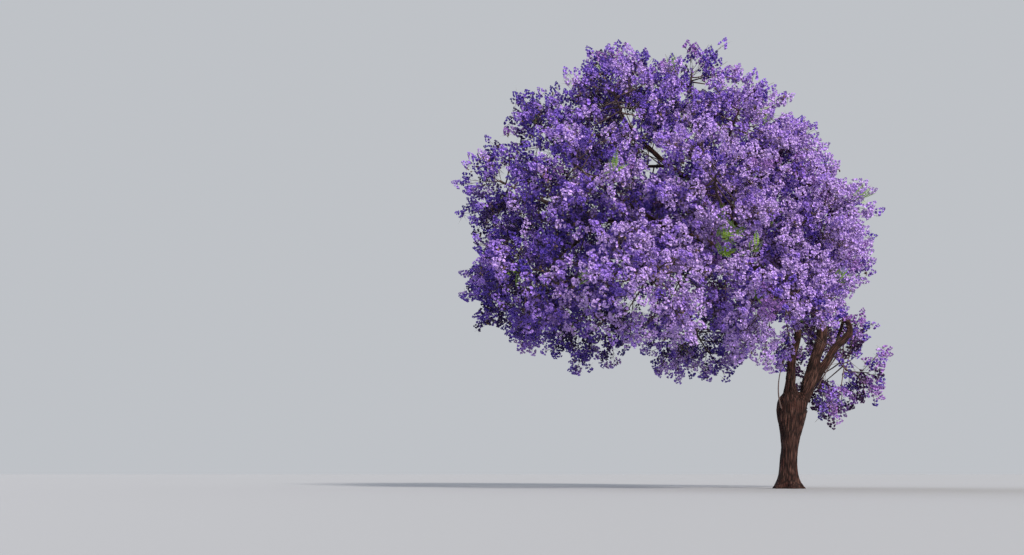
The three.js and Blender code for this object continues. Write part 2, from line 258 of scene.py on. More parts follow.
def girth(count):
    """The radius of a limb that carries so many masses."""
    return BOUGH_TIP_RADIUS * count ** (1 / RADIUS_POWER)


def branch_out(limb, bundle, heading, limbs, draw):
    """Carries a limb on from its last point to its masses, and starts a new limb at each fork."""
    start = limb.points[-1]
    if len(bundle) == 1:
        mass = bundle[0]
        way = (mass.centre - start).normalized()
        inset = (way * mass.size).length * ENTRY_SHARE
        limb.points.append(mass.centre - way * inset)
        limb.radii.append(BOUGH_TIP_RADIUS)
        limb.mass, mass.limb = mass, limb
        return
    nearest = min((mass.centre - start).length - ENTRY_SHARE * mass.size.x for mass in bundle)
    run = middle_of(bundle) - start
    reach = min(run.length * FORK_SHARE, max(nearest, FORK_LEAST) * FORK_CLEARANCE)
    sway = Vector((draw() - 0.5, draw() - 0.5, draw() - 0.5)) * 2 * FORK_SWAY
    fork = start + run.normalized() * FORK_PULL * reach + sway + heading * FORK_MOMENTUM * reach
    onward = (fork - start).normalized()
    main, side = split(fork, onward, bundle)
    limb.points.append(fork)
    limb.radii.append(girth(len(main)))
    branch_out(limb, main, onward, limbs, draw)
    branch = SimpleNamespace(name=None, points=[fork.copy()], radii=[girth(len(side))])
    limbs.append(branch)
    branch_out(branch, side, onward, limbs, draw)


def curve_point(points, t):
    """The point a share t of the way along the smooth curve through some points."""
    i = min(int(t * (len(points) - 1)), len(points) - 2)
    share = t * (len(points) - 1) - i
    before = points[i - 1] if i else 2 * points[0] - points[1]
    after = points[i + 2] if i + 2 < len(points) else 2 * points[-1] - points[-2]
    a, b, c, d = before, points[i], points[i + 1], after
    gap_ab, gap_bc, gap_cd = (max((q - p).length, 1e-6) ** 0.5 for p, q in ((a, b), (b, c), (c, d)))
    leave = (b - a) / gap_ab - (c - a) / (gap_ab + gap_bc) + (c - b) / gap_bc
    reach = (c - b) / gap_bc - (d - b) / (gap_bc + gap_cd) + (d - c) / gap_cd
    leave, reach = leave * gap_bc, reach * gap_bc
    s2, s3 = share * share, share ** 3
    return (b * (2 * s3 - 3 * s2 + 1) + leave * (s3 - 2 * s2 + share)
            + c * (3 * s2 - 2 * s3) + reach * (s3 - s2))


def radius_at(radii, t):
    """The radius a share t of the way along, between the radii at the points."""
    return float(np.interp(t * (len(radii) - 1), range(len(radii)), radii))


limbs = []
for i, stem in enumerate(STEMS):
    points = [Vector(point) for point in stem["points"]]
    limb = SimpleNamespace(name=stem["name"], points=points, radii=list(stem["radii"]))
    limbs.append(limb)
    carried = [mass for mass in masses if carrier(mass) == limb.name]
    branch_out(limb, carried, (points[-1] - points[-2]).normalized(), limbs, seeded(STEM_SEED + i))
for limb in limbs:
    limb.name = limb.name or f"bough_{limb.mass.name}"

# The trunk, stems and boughs as they show: one skin of wood from the flat cut at the ground to where
# the boughs enter the blossom. The limbs are joined by a fine remesh, so that each fork has its
# fillet, and the bark's fissures are pressed into the skin along each limb.
FLARE_RADIUS = 0.44
WAIST_RADIUS = 0.255
FORK_RADIUS = 0.395
FLARE_FADE = 0.24
WAIST_HEIGHT = 1.1
FORK_HEIGHT = 2.5
CROTCH_HEIGHT = 2.96
TRUNK_LEAN = 0.31
LEAN_POWER = 1.2
FORK_OVAL = 0.16
CROTCH_FLAT = 0.97
ROOT_RIBS = 5
ROOT_RIB_DEPTH = 0.17
ROOT_RIB_TURN = 0.6
TRUNK_SIDES = 72
TRUNK_RINGS = 60
BELOW_GROUND = 0.08
SKIN_VOXEL = 0.018
SOFTEN_STEPS = 6
LIMB_STEP = 0.08
LIMB_SIDES = 14
COLLAR_SWELL = 0.3
FOOT_SWELL = -0.35
COLLAR_FADE = 0.22


def smoothstep(value, low, high):
    """A smooth step from 0 at low to 1 at high."""
    share = min(max((value - low) / (high - low), 0), 1)
    return share * share * (3 - 2 * share)


def trunk_radius(height, angle):
    """The trunk: ribbed by its roots at the ground, a waist, then wide and oval below the fork."""
    height = max(height, 0)
    flare = (FLARE_RADIUS - WAIST_RADIUS) * math.exp(-height / FLARE_FADE)
    swell = smoothstep(height, WAIST_HEIGHT, FORK_HEIGHT)
    ribbing = ROOT_RIB_DEPTH * math.exp(-height / (2 * FLARE_FADE))
    ribs = 1 + ribbing * math.cos(ROOT_RIBS * angle + ROOT_RIB_TURN)
    oval = 1 + FORK_OVAL * swell * math.cos(2 * angle)
    domed = min(max((height - FORK_HEIGHT) / (CROTCH_HEIGHT - FORK_HEIGHT), 0), CROTCH_FLAT)
    radius = WAIST_RADIUS + flare + (FORK_RADIUS - WAIST_RADIUS) * swell
    return radius * ribs * oval * math.sqrt(1 - domed ** 2)


def trunk_lean(height):
    """How far the middle of the trunk has leant to the right at a height."""
    return TRUNK_LEAN * (max(height, 0) / CROTCH_HEIGHT) ** LEAN_POWER


shape = bmesh.new()
bmesh.ops.create_cone(shape, cap_ends=True, segments=TRUNK_SIDES, radius1=1, radius2=1, depth=1)
uprights = [edge for edge in shape.edges if abs(edge.verts[0].co.z - edge.verts[1].co.z) > 0.5]
bmesh.ops.subdivide_edges(shape, edges=uprights, cuts=TRUNK_RINGS)
for vert in shape.verts:
    height = -BELOW_GROUND + (CROTCH_HEIGHT + BELOW_GROUND) * (vert.co.z + 0.5)
    angle = math.atan2(vert.co.y, vert.co.x)
    radius = trunk_radius(height, angle)
    vert.co = (trunk_lean(height) + radius * math.cos(angle), radius * math.sin(angle), height)
bmesh.ops.triangulate(shape, faces=[face for face in shape.faces if len(face.verts) > 4])
trunk_mesh = mesh_from(shape, "trunk_form")


def rod_curve(rods, sides):
    """Round rods of changing thickness as one curve object. Each rod is a list of points and radii."""
    curve = bpy.data.curves.new("rods", "CURVE")
    curve.dimensions = "3D"
    curve.bevel_depth = 1
    curve.bevel_resolution = sides // 2 - 2
    curve.use_fill_caps = True
    for points, radii in rods:
        spline = curve.splines.new("POLY")
        spline.points.add(len(points) - 1)
        spline.points.foreach_set("co", np.column_stack((points, np.ones(len(points)))).ravel())
        spline.points.foreach_set("radius", np.asarray(radii, float))
    return bpy.data.objects.new("rods", curve)


def as_mesh(piece):
    """The mesh that an object's modifiers or bevel give."""
    bpy.context.scene.collection.objects.link(piece)
    bpy.context.view_layer.update()
    made = bpy.data.meshes.new_from_object(piece.evaluated_get(bpy.context.evaluated_depsgraph_get()))
    bpy.data.objects.remove(piece)
    return made


def limb_rod(limb):
    """A limb's line and its radius along it, swollen by a collar where it leaves its parent, or
    drawn in where its foot stands within the trunk."""
    swell = COLLAR_SWELL if limb.points[0].z > CROTCH_HEIGHT else FOOT_SWELL
    length = sum((q - p).length for p, q in zip(limb.points, limb.points[1:]))
    shares = np.linspace(0, 1, max(4, round(length / LIMB_STEP)) + 1)
    points = [curve_point(limb.points, share) for share in shares]
    radii = [radius_at(limb.radii, share) * (1 + swell * math.exp(-share * length / COLLAR_FADE))
             for share in shares]
    return points, radii


rods = [limb_rod(limb) for limb in limbs]
limbs_mesh = as_mesh(rod_curve(rods, LIMB_SIDES))

shape = bmesh.new()
shape.from_mesh(trunk_mesh)
shape.from_mesh(limbs_mesh)
skin = bpy.data.objects.new("skin", mesh_from(shape, "wood_form"))
remesh = skin.modifiers.new("join", "REMESH")
remesh.mode = "VOXEL"
remesh.voxel_size = SKIN_VOXEL
soften = skin.modifiers.new("soften", "SMOOTH")
soften.factor = 0.5
soften.iterations = SOFTEN_STEPS
wood = as_mesh(skin)

# The boughs among the blossom need fewer faces than the trunk and its stems do. The crotch is
# smoothed once more, so that trunk and stems flow into each other.
FINE_BELOW = 5.2
FACES_KEPT = 0.53
CROTCH_BLEND = 0.4
BLEND_STEPS = 90

thinned = bpy.data.objects.new("thinned", wood)
aloft = thinned.vertex_groups.new(name="aloft")
aloft.add([vert.index for vert in wood.vertices if vert.co.z > FINE_BELOW], 1, "REPLACE")
thin = thinned.modifiers.new("thin", "DECIMATE")
thin.ratio = FACES_KEPT
thin.vertex_group = "aloft"
wood = as_mesh(thinned)

shape = bmesh.new()
shape.from_mesh(wood)
crotch = Vector((trunk_lean(CROTCH_HEIGHT), 0, CROTCH_HEIGHT))
near_crotch = [vert for vert in shape.verts if (vert.co - crotch).length < FORK_RADIUS + CROTCH_BLEND]
for _ in range(BLEND_STEPS):
    bmesh.ops.smooth_vert(shape, verts=near_crotch, factor=0.5,
                          use_axis_x=True, use_axis_y=True, use_axis_z=True)
shape.to_mesh(wood)
shape.free()

# Each limb's middle line, closely spaced, gives every point of the skin its place on its limb: how
# far across it and how far along. The bark's pattern follows that, so it runs up every limb. Limbs
# lie 10 m apart in the pattern, so that no two have the same bark.
LINE_STEP = 0.03
LINE_STOPS_BELOW = 0.15
TRUNK_STEPS = 40
LIMBS_APART = 10
AT_ONCE = 4000


def middle_line(points, radii):
    """A rod's middle line as rows: place, tangent, two directions across, radius and length so far."""
    rows = []
    points = np.array(points)
    lengths = np.concatenate(([0], np.cumsum(np.linalg.norm(np.diff(points, axis=0), axis=1))))
    steps = np.linspace(0, lengths[-1], max(2, round(lengths[-1] / LINE_STEP)))
    line = np.column_stack([np.interp(steps, lengths, points[:, axis]) for axis in range(3)])
    radii = np.interp(steps, lengths, radii)
    tangents = np.gradient(line, axis=0)
    side = Vector(tangents[0]).orthogonal().normalized()
    for place, tangent, radius, so_far in zip(line, tangents, radii, steps):
        tangent = Vector(tangent).normalized()
        side = (side - tangent * side.dot(tangent)).normalized()
        rows.append([*place, *tangent, *side, *tangent.cross(side), radius, so_far])
    return rows


heights = np.linspace(0, CROTCH_HEIGHT - LINE_STOPS_BELOW, TRUNK_STEPS)
trunk_line = [(trunk_lean(height), 0, height) for height in heights]
trunk_radii = [trunk_radius(height, math.pi / 4) for height in heights]
rows = middle_line(trunk_line, trunk_radii)
for i, (points, radii) in enumerate(rods):
    rows += [row[:-1] + [row[-1] + LIMBS_APART * (i + 1)] for row in middle_line(points, radii)]
rows = np.array(rows)

places = np.array([vert.co[:] for vert in wood.vertices])
normals = np.array([normal.vector[:] for normal in wood.vertex_normals])
grain = np.zeros_like(places)
limb_radii = np.zeros(len(places))
for low in range(0, len(places), AT_ONCE):
    some = slice(low, low + AT_ONCE)
    part = places[some]
    squares = (part ** 2).sum(1)[:, None] + (rows[:, :3] ** 2).sum(1)
    gaps = np.sqrt((squares - 2 * part @ rows[:, :3].T).clip(0))
    nearest = rows[(gaps - rows[:, -2]).argmin(1)]
    place, tangent, side, other = (nearest[:, first:first + 3] for first in (0, 3, 6, 9))
    offset = part - place
    grain[some, 0] = (offset * side).sum(1)
    grain[some, 1] = (offset * other).sum(1)
    grain[some, 2] = (offset * tangent).sum(1) + nearest[:, -1]
    limb_radii[some] = nearest[:, -2]

# The bark is cracked along each limb, and the wood under it is fluted. Below the crotch the trunk
# folds inwards, where the wood of its stems has grown together. A fold is a place across the trunk
# and a depth.
FISSURE_SPACING = 0.075
FISSURE_LENGTH = 0.8
FISSURE_DEPTH = 0.02
FISSURE_EDGE = 0.16
FINER_CRACKS = 2.1
FULL_RELIEF_RADIUS = 0.2
FLUTE_WIDTH = 0.26
FLUTE_LENGTH = 1.3
FLUTE_HEIGHT = 0.034
FOLDS = ((0.17, 0.12), (-0.2, 0.05))
FOLD_WIDTH = 0.065
FOLD_FOOT = 1.5
FOLD_TOP = CROTCH_HEIGHT + 0.3

relief = np.zeros(len(places))
for i, (x, y, z) in enumerate(grain):
    strength = min(1, limb_radii[i] / FULL_RELIEF_RADIUS)
    place = Vector((x / FISSURE_SPACING, y / FISSURE_SPACING, z / FISSURE_LENGTH))
    crack = noise.noise(place) + 0.5 * noise.noise(place * FINER_CRACKS)
    flute = noise.noise(Vector((x / FLUTE_WIDTH, y / FLUTE_WIDTH, z / FLUTE_LENGTH)))
    relief[i] = strength * (FLUTE_HEIGHT * flute - FISSURE_DEPTH * math.exp(-(crack / FISSURE_EDGE) ** 2))
fade = ((places[:, 2] - FOLD_FOOT) / (CROTCH_HEIGHT - FOLD_FOOT)).clip(0, 1)
fade *= places[:, 2] < FOLD_TOP
for offset, depth in FOLDS:
    middles = TRUNK_LEAN * (places[:, 2].clip(0) / CROTCH_HEIGHT) ** LEAN_POWER + offset
    relief -= depth * fade * np.exp(-((places[:, 0] - middles) / FOLD_WIDTH) ** 2)
places += normals * relief[:, None]
wood.vertices.foreach_set("co", places.ravel())
pattern = wood.attributes.new("grain", "FLOAT_VECTOR", "POINT")
pattern.data.foreach_set("vector", grain.ravel())

shape = bmesh.new()
shape.from_mesh(wood)
bmesh.ops.bisect_plane(shape, geom=shape.verts[:] + shape.edges[:] + shape.faces[:], dist=1e-5,
                       plane_co=(0, 0, 0), plane_no=(0, 0, 1), clear_inner=True)
rim = [edge for edge in shape.edges if edge.is_boundary]
bmesh.ops.contextual_create(shape, geom=rim)
bmesh.ops.triangulate(shape, faces=[face for face in shape.faces if len(face.verts) > 4])
shape.to_mesh(wood)
shape.free()

# Jacaranda bark: thin, matt and dry, split into long narrow plates. The fissures are dark red-brown
# and the plates' backs weather to a greyer brown, so it looks streaked up and down each limb. The
# red and grey are the bark's own, made darker as painted shade, as the trunk stands under the crown.
# The strands of its plates are 5 mm wide, and its red and grey patches some 30 cm.
PLATE_WIDTH = 0.055
PLATE_LENGTH = 0.55
FISSURE_SHARE = 0.28
STRANDS_PER_METRE = (220, 220, 40)
PATCHES_PER_METRE = 3.5
STREAKING = 0.45
BARK_RELIEF = 0.014
BARK_FISSURE = "#120908"
# Painted shade: the red and grey are darker than the bark's own colours.
SHADED_BARK_RED = "#361A16"
SHADED_BARK_GREY = "#5A4039"

bark, tree, shader = new_material("jacaranda_bark")
grained = add(tree, "ShaderNodeAttribute", attribute_name="grain")
plates_place = add(tree, "ShaderNodeMapping", {
    "Vector": grained.outputs["Vector"], "Scale": (1 / PLATE_WIDTH, 1 / PLATE_WIDTH, 1 / PLATE_LENGTH)})
plates = add(tree, "ShaderNodeTexVoronoi", {"Vector": plates_place.outputs[0], "Scale": 1, "Randomness": 1},
             feature="DISTANCE_TO_EDGE")
edges = add(tree, "ShaderNodeMapRange", {
    "Value": plates.outputs["Distance"], "From Min": 0.0, "From Max": FISSURE_SHARE})
strands_place = add(tree, "ShaderNodeMapping", {
    "Vector": grained.outputs["Vector"], "Scale": STRANDS_PER_METRE})
strands = add(tree, "ShaderNodeTexNoise", {"Vector": strands_place.outputs[0], "Scale": 1, "Detail": 4})
patches = add(tree, "ShaderNodeTexNoise", {
    "Vector": grained.outputs["Vector"], "Scale": PATCHES_PER_METRE, "Detail": 3})
patch_share = add(tree, "ShaderNodeMapRange", {
    "Value": patches.outputs["Fac"], "From Min": 0.35, "From Max": 0.68})
body = add(tree, "ShaderNodeMix", {0: patch_share.outputs[0], 6: linear(SHADED_BARK_RED), 7: linear(SHADED_BARK_GREY)},
           data_type="RGBA")
streaked = add(tree, "ShaderNodeMix", {0: STREAKING, 6: body.outputs[2], 7: strands.outputs["Color"]},
               data_type="RGBA", blend_type="SOFT_LIGHT")
coloured = add(tree, "ShaderNodeMix", {
    0: edges.outputs[0], 6: linear(BARK_FISSURE), 7: streaked.outputs[2]}, data_type="RGBA")
tree.links.new(coloured.outputs[2], shader.inputs["Base Color"])
height = add(tree, "ShaderNodeMath", {0: edges.outputs[0], 1: strands.outputs["Fac"]}, operation="ADD")
bump = add(tree, "ShaderNodeBump", {"Strength": 1.0, "Distance": BARK_RELIEF, "Height": height.outputs[0]})
tree.links.new(bump.outputs[0], shader.inputs["Normal"])
shader.inputs["Roughness"].default_value = 0.92
shader.inputs["Specular IOR Level"].default_value = 0.25

trunk_and_boughs = show("trunk_and_boughs", wood, bark, smooth=True)
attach(trunk_and_boughs, "root")
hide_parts("trunk", *[limb.name for limb in limbs])

# Within each mass the bough's end carries on as a stem. Twigs leave it round the way that the mass
# faces, turned by the golden angle, and each twig carries flat sprays of blossom near its end.
STEM_RADIUS = 0.058
STEM_RUN = 0.45
STEM_GAP = 0.0003
TWIGS = 7
TWIG_LEANS = (0.95, -0.45)
TWIG_ROOTS = (0.95, 0.4)
TURN_SCATTER = 0.8
TWIG_REACH = 0.72
TWIG_RADIUS = 0.045
TWIG_OVERRUN = 1.25
SPRAYS = 4
SPRAY_LENGTH = 1.4
SPRAY_WIDTH = 1.15
SPRAY_DEPTH = 0.26
SPRAY_BELLY = 0.5
SPRAY_ROOT = 0.004
SPRAY_SPREAD = 1.1
TIP_SPREAD = 0.15
SPRAY_TURN = 1.5
SPRAY_ROLL = 1.6
SPRAY_LEAST = 0.85
SPRAY_GROWTH = 0.3
SPRAY_STEP = 0.2
TWIG_SHARES = (1, 0.85, 0.7)
SHRINKS = (1, 0.84, 0.7)
AIMS = 5
FINE_TWIGS = 7
FINE_SPRAYS = 3
FINE_LEANS = (0.6, -0.9)
FINE_ROOTS = (0.85, 0.15)
FINE_REACH = 0.66
HUB_LENGTH = 0.28
HUB_SPRAYS = 5
BOUGH_TWIG_STEP = 0.34
BOUGH_TWIG_LENGTH = 1.25
BOUGH_TWIGS_ABOVE = 5.4
BOUGH_TWIG_FORWARD = 0.5
BOUGH_TWIG_OUTWARD = 0.4
CLEAR_OF_BARK = 0.1
FINE_SEED = 500
BOUGH_SEED = 700
GOLDEN_TURN = math.pi * (3 - math.sqrt(5))


def across(direction):
    """Two directions square to a given one."""
    helper = Vector((1, 0, 0)) if abs(direction.z) > 0.9 else Vector((0, 0, 1))
    side = direction.cross(helper).normalized()
    return side, side.cross(direction).normalized()


def bezier(a, b, c, t):
    """The point a share t of the way along a curve from a to c that is drawn towards b."""
    return a.lerp(b, t).lerp(b.lerp(c, t), t)


def stepped(limits, i, count):
    """The value after i of count steps from the first of two values to the second."""
    return limits[0] + (limits[1] - limits[0]) * i / count


def twig_way(outward, leans, i, count, offset, draw):
    """The way of a twig, the i-th of so many: turned round the outward way by the golden angle, and
    leaning out from it further and further."""
    lean = stepped(leans, i + 0.3 + 0.4 * draw(), count)
    turn = (i + offset) * GOLDEN_TURN + TURN_SCATTER * draw()
    side, other = across(outward)
    flat = math.sqrt(1 - lean * lean)
    return outward * lean + side * flat * math.cos(turn) + other * flat * math.sin(turn)


def plan_mass(mass):
    """The stem of a mass, which carries on from the tip of its bough, and its twigs."""
    draw = seeded(mass.seed)
    points = mass.limb.points
    arrival = (curve_point(points, 1) - curve_point(points, 0.9999)).normalized()
    start = points[-1] + arrival * STEM_GAP
    stem = (start, start + arrival * (mass.centre - start).length,
            mass.centre + mass.outward * mass.size.z * STEM_RUN)
    twigs = []
    for i in range(TWIGS):
        way = twig_way(mass.outward, TWIG_LEANS, i, TWIGS, 0, draw)
        root = bezier(*stem, stepped(TWIG_ROOTS, i, TWIGS))
        twigs.append(SimpleNamespace(root=root, tip=mass.centre + way * mass.size * TWIG_REACH, way=way,
                                     outward=mass.outward, draw=draw))
    return stem, twigs


def stances(twig, k):
    """The ways that one spray can stand on its twig, in the order in which they are tried."""
    along = (twig.tip - twig.root).normalized()
    side, other = across(along)
    spread = SPRAY_SPREAD if k else TIP_SPREAD
    first = k * GOLDEN_TURN + SPRAY_TURN * twig.draw()
    roll = SPRAY_ROLL * (twig.draw() - 0.5)
    size = SPRAY_LEAST + SPRAY_GROWTH * twig.draw()
    share = 1 - SPRAY_STEP * k
    for shrink in SHRINKS:
        for aim in range(AIMS):
            turn = first + 2 * math.pi * aim / AIMS
            direction = (along.lerp(twig.way, 0.5) + side * spread * math.cos(turn)
                         + other * spread * math.sin(turn)).normalized()
            wide = direction.cross(twig.outward).normalized()
            face = Quaternion(direction, roll) @ wide.cross(direction)
            yield SimpleNamespace(at=twig.root.lerp(twig.tip, share), direction=direction, face=face,
                                  wide=face.cross(direction), scale=size * shrink, share=share)


def outline_of(corners, faces):
    """Corner points and the search tree of a small closed form."""
    return SimpleNamespace(corners=np.array(corners), tree=BVHTree.FromPolygons(corners, faces))


def spray_outline(stance):
    """A spray's outline: pointed at both ends, widest towards its root."""
    long, wide, deep = (size * stance.scale for size in (SPRAY_LENGTH, SPRAY_WIDTH, SPRAY_DEPTH))
    belly = stance.at + stance.direction * SPRAY_BELLY * long
    sides = [belly + stance.wide * wide / 2, belly + stance.face * deep / 2,
             belly - stance.wide * wide / 2, belly - stance.face * deep / 2]
    ends = [stance.at + stance.direction * long, stance.at - stance.direction * SPRAY_ROOT]
    faces = [(end, i, (i + 1) % 4) for end in (4, 5) for i in range(4)]
    return outline_of(sides + ends, faces)


def twig_outline(root, tip):
    """A twig's outline: a slim three-sided spike that runs on past its tip."""
    side, other = across((tip - root).normalized())
    foot = [root + (side * math.cos(turn) + other * math.sin(turn)) * TWIG_RADIUS
            for turn in (0, 2 * math.pi / 3, 4 * math.pi / 3)]
    return outline_of(foot + [root.lerp(tip, TWIG_OVERRUN)], [(0, 1, 2), (0, 1, 3), (1, 2, 3), (2, 0, 3)])


def stem_outline(stem):
    """The outline of a mass's stem: rings of three along its curve."""
    corners, faces = [], []
    for ring in range(5):
        place = bezier(*stem, ring / 4)
        side, other = across((bezier(*stem, ring / 4 + 0.01) - place).normalized())
        for k in range(3):
            turn = 2 * math.pi * k / 3
            corners.append(place + (side * math.cos(turn) + other * math.sin(turn)) * STEM_RADIUS)
            if ring:
                a, b = 3 * ring + k, 3 * ring + (k + 1) % 3
                faces.append((a, b, b - 3, a - 3))
    return outline_of(corners, faces)


wood_tree = BVHTree.FromPolygons([vert.co.copy() for vert in wood.vertices],
                                 [tuple(face.vertices) for face in wood.polygons])


def grow_mass(mass):
    """A mass's stem, its twigs and their sprays, which keep to its space, clear of limbs and each
    other, and between them finer twigs that turn inwards too, whose sprays may cross the others."""
    stem, twigs = plan_mass(mass)
    fine_draw = seeded(FINE_SEED + mass.seed)

    def fits(outline):
        return own_space(outline.corners, mass).all() and not outline.tree.overlap(wood_tree)

    def add_sprays(twig, count):
        for k in range(count):
            stance = next((stance for stance in stances(twig, k) if fits(spray_outline(stance))), None)
            if stance:
                stance.twig, stance.mass = twig, mass
                sprays.append(stance)

    kept = []
    for twig in twigs:
        for share in TWIG_SHARES:
            tip = twig.root.lerp(twig.tip, share)
            outline = twig_outline(twig.root, tip)
            if fits(outline):
                twig.tip, twig.outline = tip, outline
                kept.append(twig)
                break
    taken = [stem_outline(stem)]
    sprays = []
    for twig in kept:
        others = [near.outline for near in kept if near is not twig]
        for k in range(SPRAYS):
            for stance in stances(twig, k):
                outline = spray_outline(stance)
                if fits(outline) and not any(outline.tree.overlap(o.tree) for o in others + taken):
                    taken.append(outline)
                    stance.twig, stance.mass = twig, mass
                    sprays.append(stance)
                    break
    for i in range(FINE_TWIGS):
        way = twig_way(mass.outward, FINE_LEANS, i, FINE_TWIGS, 0.5, fine_draw)
        root = bezier(*stem, stepped(FINE_ROOTS, i, FINE_TWIGS))
        tip = mass.centre + way * mass.size * FINE_REACH
        if not fits(twig_outline(root, tip)):
            continue
        twig = SimpleNamespace(root=root, tip=tip, way=way, outward=mass.outward, draw=fine_draw)
        kept.append(twig)
        add_sprays(twig, FINE_SPRAYS)
    hub = SimpleNamespace(root=stem[-1] - mass.outward * HUB_LENGTH,
                          tip=stem[-1] + mass.outward * HUB_LENGTH,
                          way=mass.outward, outward=mass.outward, draw=fine_draw)
    kept.append(hub)
    add_sprays(hub, HUB_SPRAYS)
    return stem, kept, sprays


def in_crown(points):
    """Which points lie within the reach of any of the masses."""
    offsets = (np.asarray(points)[:, None, :] - centres) / half_sizes
    return (np.linalg.norm(offsets, axis=2) <= SPACE_SHARE).any(axis=1)


def grow_bough_twigs(limb, number):
    """Short twigs that leave a bough's upper part, turned by the golden angle, and their sprays."""
    draw = seeded(BOUGH_SEED + number)
    length = sum((q - p).length for p, q in zip(limb.points, limb.points[1:]))
    twigs, sprays = [], []
    for i in range(1, int(length / BOUGH_TWIG_STEP)):
        share = i * BOUGH_TWIG_STEP / length
        place = curve_point(limb.points, share)
        if place.z < BOUGH_TWIGS_ABOVE:
            continue
        along = (curve_point(limb.points, share + 0.01) - place).normalized()
        side, other = across(along)
        turn = i * GOLDEN_TURN + TURN_SCATTER * draw()
        outward = (place - CROWN_MIDDLE).normalized()
        way = (along * BOUGH_TWIG_FORWARD + side * math.cos(turn) + other * math.sin(turn)
               + outward * BOUGH_TWIG_OUTWARD).normalized()
        root = place + way * (radius_at(limb.radii, share) + CLEAR_OF_BARK)
        tip = root + way * BOUGH_TWIG_LENGTH * (0.7 + 0.5 * draw())
        if twig_outline(root, tip).tree.overlap(wood_tree) or not in_crown([tip])[0]:
            continue
        twig = SimpleNamespace(root=place, tip=tip, way=way, outward=outward, draw=draw)
        twigs.append(twig)
        for k in range(FINE_SPRAYS):
            for stance in stances(twig, k):
                outline = spray_outline(stance)
                if in_crown(outline.corners).all() and not outline.tree.overlap(wood_tree):
                    stance.twig, stance.mass = twig, None
                    sprays.append(stance)
                    break
    return twigs, sprays


grown = [grow_mass(mass) for mass in masses]
bough_grown = [grow_bough_twigs(limb, number) for number, limb in enumerate(limbs)]
sprays = [spray for made in grown + bough_grown for spray in made[-1]]

# Twigs as they show: each mass's stem, its twigs and those of the boughs, the midrib of each spray
# and the stalk of each panicle, thinner at each step. All are round and slightly bowed. One bare
# shoot rises from the trunk below the fork.
STEM_FOOT_RADIUS = 0.05
STEM_TOP_RADIUS = 0.024
STEM_TUCK = 0.12
TWIG_ROOT_RADIUS = 0.026
TWIG_TIP_RADIUS = 0.010
TWIG_BOW = 0.05
TWIG_SAG = 0.04
MIDRIB_RADIUS = 0.010
MIDRIB_END_RADIUS = 0.004
MIDRIB_SHARE = 0.9
TWIG_SIDES = 4
SIDE_SHOOT = ((-0.1, -0.16, 2.3), (-0.42, -0.42, 3.0), (0.0, -0.46, 3.95))
SIDE_SHOOT_RADII = (0.03, 0.01)
SCATTER_SEED = 2190
random = np.random.default_rng(SCATTER_SEED)


def bowed_rod(bend, first, last, steps):
    """A rod along a bend, as points and as radii that change evenly from the first to the last."""
    shares = np.linspace(0, 1, steps)
    return [bezier(*bend, share) for share in shares], [first + (last - first) * share for share in shares]


twig_rods = []
for stem, _, _ in grown:
    start, elbow, _ = stem
    back = start - (elbow - start).normalized() * STEM_TUCK
    points, radii = bowed_rod(stem, STEM_FOOT_RADIUS, STEM_TOP_RADIUS, 9)
    twig_rods.append(([back, *points], [STEM_FOOT_RADIUS, *radii]))
for twig in [twig for made in grown + bough_grown for twig in made[-2]]:
    run = twig.tip - twig.root
    bow = Vector(random.normal(0, TWIG_BOW, 3)) * run.length + Vector((0, 0, -TWIG_SAG)) * run.length
    twig.bend = (twig.root, twig.root.lerp(twig.tip, 0.5) + bow, twig.tip)
    twig_rods.append(bowed_rod(twig.bend, TWIG_ROOT_RADIUS, TWIG_TIP_RADIUS, 6))
for spray in sprays:
    spray.at = bezier(*spray.twig.bend, spray.share)
    far = spray.at + spray.direction * SPRAY_LENGTH * spray.scale * MIDRIB_SHARE
    spray.bend = (spray.at, spray.at.lerp(far, 0.5) + Vector(random.normal(0, TWIG_BOW, 3)), far)
    twig_rods.append(bowed_rod(spray.bend, MIDRIB_RADIUS, MIDRIB_END_RADIUS, 4))
twig_rods.append(bowed_rod([Vector(point) for point in SIDE_SHOOT], *SIDE_SHOOT_RADII, 12))
twig_mesh = as_mesh(rod_curve(twig_rods, TWIG_SIDES))

# Where the panicles stand: at the ends of short stalks over the fan of each spray, which billows a
# little, facing outwards and up. They keep a hand's breadth apart, and more inside the crown. Sky
# shows between them towards the top and the left, and the stems show below them.

# The steps spread the spots evenly over a spray, and the shifts make each spray begin elsewhere. The
# stems show within a slanted space that follows the line of sight past their tops.
SPOTS = 59
SPOT_STEPS = np.array([0.7548777, 0.5698403])
SPOT_SHIFTS = np.array([0.618, 0.414])
SPRAY_BARE = 0.08
PANICLE_SPREAD = 0.95
FAN_BILLOW = 0.3
FAN_SINK = 0.35
STALK_LEAST = 0.02
STALK_BACK = 0.12
STALK_SLANT = 0.35
FACE_ALONG = 0.5
FACE_ASIDE = 0.8
FACE_OUT = 0.55
FACE_BILLOW = 2.5
FACE_UP = 0.35
FACE_SCATTER = 0.25
PANICLE_REACH = 0.1
PANICLE_GAP = 0.235
PANICLE_GAP_WITHIN = 0.3
GAP_DEPTHS = (0.5, 0.85)
CROWN_HALF_HEIGHT = 6.9
CROWN_RAISED = 0.4
CLOSE_SHARE = 0.1
CLOSE_GAP = 0.6
OPENING_SIZE = 0.75
OPENING_RISE = (6.5, 10.5)
OPENING_SHARE = (-0.6, -0.06)
OPENING_LEFT = 0.35
STEMS_SHOW_BELOW = 5.15
STEMS_SHOW_BETWEEN = (0.35, 2.7)
STEMS_SHOW_BACK = 1.2
STEMS_SHOW_SLANT = (0.3, 0.15)

